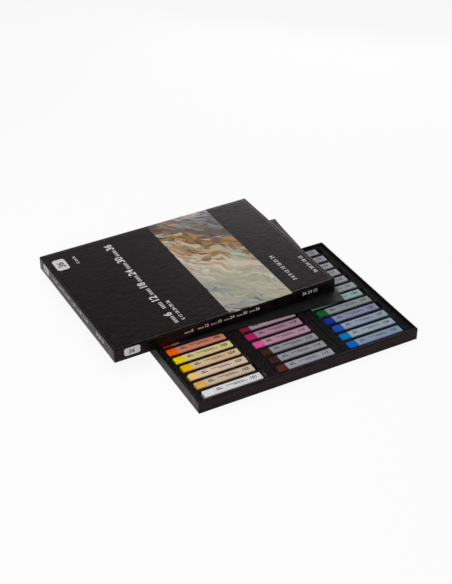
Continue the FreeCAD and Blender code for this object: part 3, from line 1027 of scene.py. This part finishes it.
def make_lid_print():
    """Plain numbers and rules in the places of the lid's print."""
    white = ink_material("white_ink", linear("D6D6D8"), 0.4)
    dark = ink_material("label_ink", linear("2A2627"), 0.5)
    quarter = math.radians(90)
    # Print plane: x runs from the lid's front to its back, and y to its left
    level = lid_high.z - PRINT - LID_INK
    on_top = lid_place @ Matrix.Translation((0, 0, level)) @ Matrix.Rotation(quarter, 4, "Z")
    shapes = number_scale(12.5, -79.8, 28.8, 12.2)
    shapes += [plain_number(*row) for row in TOP_ROWS]
    shapes.append(lid_label(160, -22, 22, 14.5, 3.5))
    add_lid_print("lid_top_print", shapes, "lid_label_number", (11, 164.5, -18.8), on_top, white, dark)

    middle = (lid_low.z + lid_high.z) / 2
    upright = Matrix.Rotation(quarter, 4, "X")
    on_front = lid_place @ Matrix.Translation((0, FRONT_PRINT_INSET, middle)) @ upright
    shapes = number_scale(80, 0.0, 15.4, 5.2)
    shapes += [plain_number("36 24 12", 5.4, 223, -0.4, HEAVY), lid_label(11, -3.6, 18, 9.4, 2.6)]
    add_lid_print("lid_front_print", shapes, "lid_front_number", (7, 15.6, -1.5), on_front, white, dark)

    left_turn = Matrix.Rotation(-quarter, 4, "Z") @ upright
    on_left = lid_place @ Matrix.Translation((LEFT_PRINT_INSET, lid_depth, middle)) @ left_turn
    shapes = [lid_label(11, -3.2, 15, 9.4, 2.6)]
    shapes += number_scale(39, 0.0, 16.0, 5.2)
    shapes.append(plain_number("36 24 12", 5.4, 153, -0.4, HEAVY))
    add_lid_print("lid_left_print", shapes, "lid_left_number", (7, 14.4, -1.1), on_left, white, dark)


# Light and surroundings

# Name, place, target and size in metres, and power in watts
LAMPS = (
    ("softbox_above", (-0.3, 0.08, 0.78), (0, 0.04, 0), (0.6, 0.6), 3.5),
    ("softbox_front", (-0.55, -0.95, 0.45), (0, 0, 0), (0.8, 0.6), 3.3),
    ("softbox_behind", (0.55, 0.62, 0.22), (0.1, 0.1, 0.22), (0.7, 0.24), 1.4),
)
# How strong the world is as light, and how bright the studio above the backdrop is in reflections
WORLD_LIGHT = 0.3
STUDIO_GLOW = 0.12
FLOOR_COLOUR = (0.88, 0.88, 0.88, 1)
FLOOR_HALF = 8
FLOOR_DROP = 0.02 * MM
# How much of the floor is plain white to the camera, and in reflections
FLOOR_WHITE_SEEN = 0.9
FLOOR_WHITE_MIRRORED = 0.15


def lamp(name, place, target, size, power):
    data = bpy.data.lights.new(name, "AREA")
    data.shape = "RECTANGLE"
    data.size, data.size_y = size
    data.energy = power
    made = bpy.data.objects.new(name, data)
    made.location = place
    made.rotation_mode = "QUATERNION"
    made.rotation_quaternion = (Vector(target) - Vector(place)).to_track_quat("-Z", "Y")
    made.visible_camera = False
    SCENE.collection.objects.link(made)


def seen_directly(tree):
    """1 for what the camera sees straight, in a reflection or through something."""
    rays = node(tree, "ShaderNodeLightPath")
    straight = maths(tree, "MAXIMUM", rays.outputs["Is Camera Ray"], rays.outputs["Is Glossy Ray"])
    return maths(tree, "MAXIMUM", straight, rays.outputs["Is Transmission Ray"])


def make_world():
    """White to the camera. Reflections see the white backdrop end a little above the object."""
    world = bpy.data.worlds.new("studio")
    world.use_nodes = True
    SCENE.world = world
    tree = world.node_tree
    tree.nodes.clear()
    plain = node(tree, "ShaderNodeBackground", {"Color": (1, 1, 1, 1), "Strength": WORLD_LIGHT})
    direction = node(tree, "ShaderNodeTexCoord").outputs["Generated"]
    rise = node(tree, "ShaderNodeSeparateXYZ", {0: direction}).outputs[2]
    above = fade(tree, rise, math.sin(BACKDROP_TOP[0]), math.sin(BACKDROP_TOP[1]))
    backdrop = maths(tree, "SUBTRACT", 1.0, above)
    reflected = maths(tree, "MAXIMUM", backdrop, STUDIO_GLOW)
    shown = maths(tree, "MAXIMUM", reflected, node(tree, "ShaderNodeLightPath").outputs["Is Camera Ray"])
    white = node(tree, "ShaderNodeBackground", {"Color": (1, 1, 1, 1), "Strength": shown})
    seen = seen_directly(tree)
    both = node(tree, "ShaderNodeMixShader", {0: seen, 1: plain.outputs[0], 2: white.outputs[0]})
    node(tree, "ShaderNodeOutputWorld", {0: both.outputs[0]})


def make_floor():
    """A pale floor that keeps the object's shadow."""
    half = FLOOR_HALF
    mesh = mesh_from("floor", [(-half, -half, 0), (half, -half, 0), (half, half, 0), (-half, half, 0)],
                     [(0, 1, 2, 3)])
    floor = bpy.data.objects.new("floor", mesh)
    floor.location.z = -FLOOR_DROP
    SCENE.collection.objects.link(floor)
    made = bpy.data.materials.new("floor_white")
    made.use_nodes = True
    tree = made.node_tree
    tree.nodes.clear()
    matt = node(tree, "ShaderNodeBsdfDiffuse", {"Color": FLOOR_COLOUR})
    glow = node(tree, "ShaderNodeEmission", {"Color": (1, 1, 1, 1), "Strength": 1.0})
    rays = node(tree, "ShaderNodeLightPath")
    mirrored = maths(tree, "MAXIMUM", rays.outputs["Is Glossy Ray"], rays.outputs["Is Transmission Ray"])
    share = maths(tree, "MAXIMUM", maths(tree, "MULTIPLY", rays.outputs["Is Camera Ray"], FLOOR_WHITE_SEEN),
                  maths(tree, "MULTIPLY", mirrored, FLOOR_WHITE_MIRRORED))
    both = node(tree, "ShaderNodeMixShader", {0: share, 1: matt.outputs[0], 2: glow.outputs[0]})
    node(tree, "ShaderNodeOutputMaterial", {0: both.outputs[0]})
    mesh.materials.append(made)


make_pastels()
make_foam()
make_boxes()
make_cover_sheet()
make_lid_print()
make_world()
make_floor()
for name, place, target, size, power in LAMPS:
    lamp(name, place, target, size, power)
SCENE.view_settings.view_transform = "Standard"
